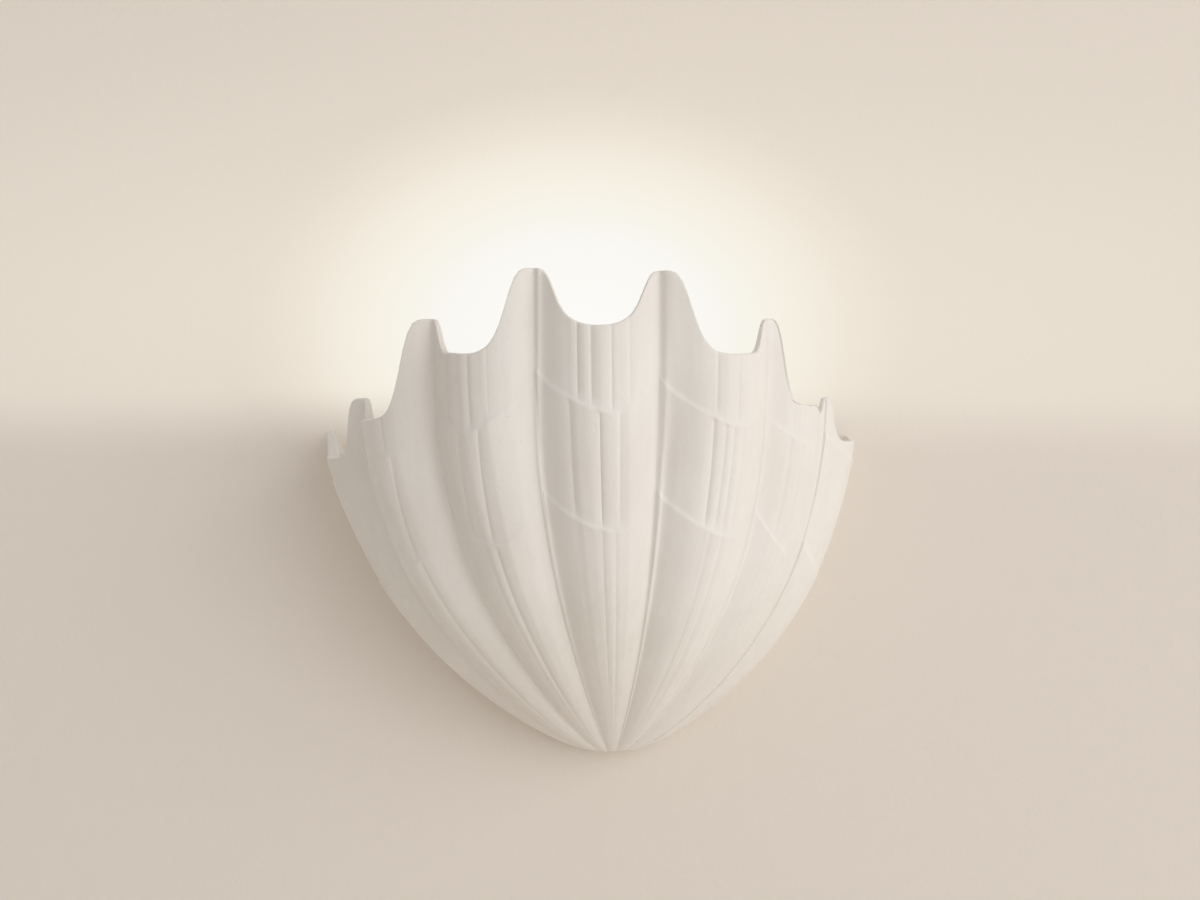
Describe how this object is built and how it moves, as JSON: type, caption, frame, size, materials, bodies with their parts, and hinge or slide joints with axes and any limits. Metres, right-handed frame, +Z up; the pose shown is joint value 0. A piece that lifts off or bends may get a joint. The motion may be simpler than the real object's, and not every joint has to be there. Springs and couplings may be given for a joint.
{
  "type": "shell wall sconce",
  "caption": "Fluted half-bowl shell up-light that hangs on a steel wall plate, with a linear lamp in sprung holders across it.",
  "frame": {"origin": "middle of the wall plate's two screw slots, on the face of the wall", "axes": "+Z up, +Y into the wall, so the shell stands out along -Y, and +X to the right as seen from the room"},
  "size_m": [0.326, 0.1442, 0.2774],
  "materials": {
    "plaster_white": "matt cast, fine grained",
    "brass_insert": "turned and pressed brass",
    "zinc_steel": "zinc plated sheet",
    "zinc_screw": "zinc plated",
    "felt": "pressed felt",
    "white_steel": "white powder coat",
    "rubber_black": "moulded",
    "bright_aluminium": "bright rolled",
    "aluminium_rivet": "plain",
    "steatite": "thin glaze",
    "nickel_contact": "nickel plated",
    "spring_steel": "drawn wire",
    "quartz": "clear quartz",
    "filament_wire": "drawn tungsten",
    "nylon_white": "moulded nylon",
    "lead_brown": "silicone sleeve",
    "lead_blue": "silicone sleeve",
    "lead_green": "silicone sleeve"
  },
  "bodies": {
    "wall": {"wall_plate": "white_steel", "hook_studs": "zinc_screw", "cable_grommet": "rubber_black", "lamp_bracket": "zinc_steel", "bracket_studs": "zinc_screw", "bracket_nuts": "zinc_screw", "reflector": "bright_aluminium", "reflector_rivets": "aluminium_rivet", "lampholder_left": "steatite", "lampholder_right": "steatite", "holder_screws": "zinc_screw", "fixed_contact": "nickel_contact", "contact_spring": "spring_steel", "contact_terminals": "brass_insert", "terminal_block": "nylon_white", "terminal_barrels": "brass_insert", "terminal_screws": "zinc_screw", "block_screws": "zinc_screw", "earth_stud": "zinc_screw", "earth_tag": "brass_insert", "earth_nut": "zinc_screw", "live_lead": "lead_brown", "neutral_lead": "lead_blue", "earth_lead": "lead_green"},
    "shell": {"shell_body": "plaster_white", "hanger_inserts": "brass_insert", "hanger_plates": "zinc_steel", "hanger_screws": "zinc_screw", "wall_pads": "felt"},
    "lamp": {"lamp_tube": "quartz", "filament": "filament_wire", "lamp_bases": "steatite", "lamp_pins": "nickel_contact"},
    "contact": {"sprung_contact": "nickel_contact"}
  },
  "joints": [
    {"name": "shell_lift", "type": "slide", "parent": "wall", "child": "shell", "axis": [0, 0, 1], "range_m": [0, 0.012]},
    {"name": "lamp_push", "type": "slide", "parent": "wall", "child": "lamp", "axis": [1, 0, 0], "range_m": [0, 0.0035]},
    {"name": "contact_push", "type": "slide", "parent": "wall", "child": "contact", "axis": [1, 0, 0], "range_m": [0, 0.0035], "stiffness_N_per_m": 1500, "springref_m": -0.004, "deforming": ["contact_spring"]}
  ],
  "couplings": [
    {"joint": "contact_push", "follows": "lamp_push", "ratio": 1}
  ]
}
